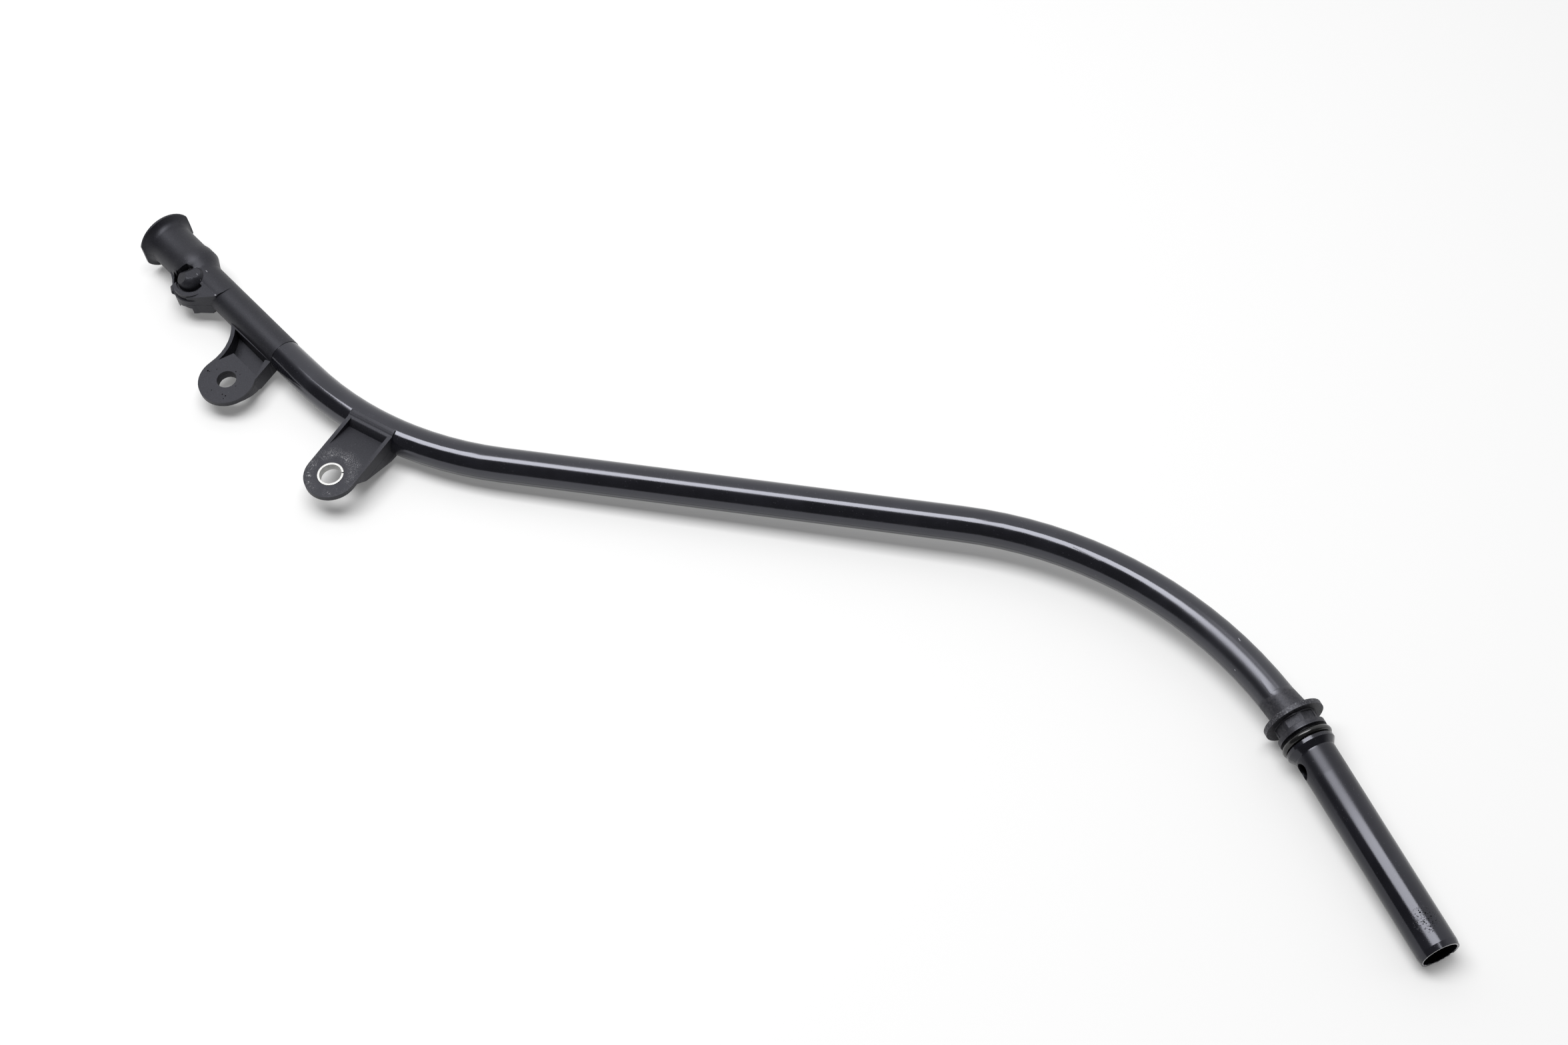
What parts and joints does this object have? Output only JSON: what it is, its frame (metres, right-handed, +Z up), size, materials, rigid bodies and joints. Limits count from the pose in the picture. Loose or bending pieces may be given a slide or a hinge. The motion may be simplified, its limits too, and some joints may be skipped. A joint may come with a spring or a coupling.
{
  "type": "oil dipstick tube",
  "caption": "Slim black moulded guide tube with two bends, a flanged mouth, side ears for bolts, a broken boss, and a sealed collar above a plain lower end",
  "frame": {"origin": "under the middle of the bounding box, on the surface that the tube lies on", "axes": "+Z up from that surface; +X along the long straight run towards the lower end; the mouth is at -X +Y and the lower end at +X -Y"},
  "size_m": [0.5316, 0.2398, 0.0244],
  "materials": {
    "tube_plastic": "black glass-filled plastic, glossy on the long run, matt on head, ears and collar",
    "bush_metal": "bright plated rolled strip",
    "seal_rubber": "black, slightly shiny"
  },
  "bodies": {
    "root": {"guide_tube": "tube_plastic", "bush": "bush_metal", "o_ring": "seal_rubber"}
  },
  "joints": []
}
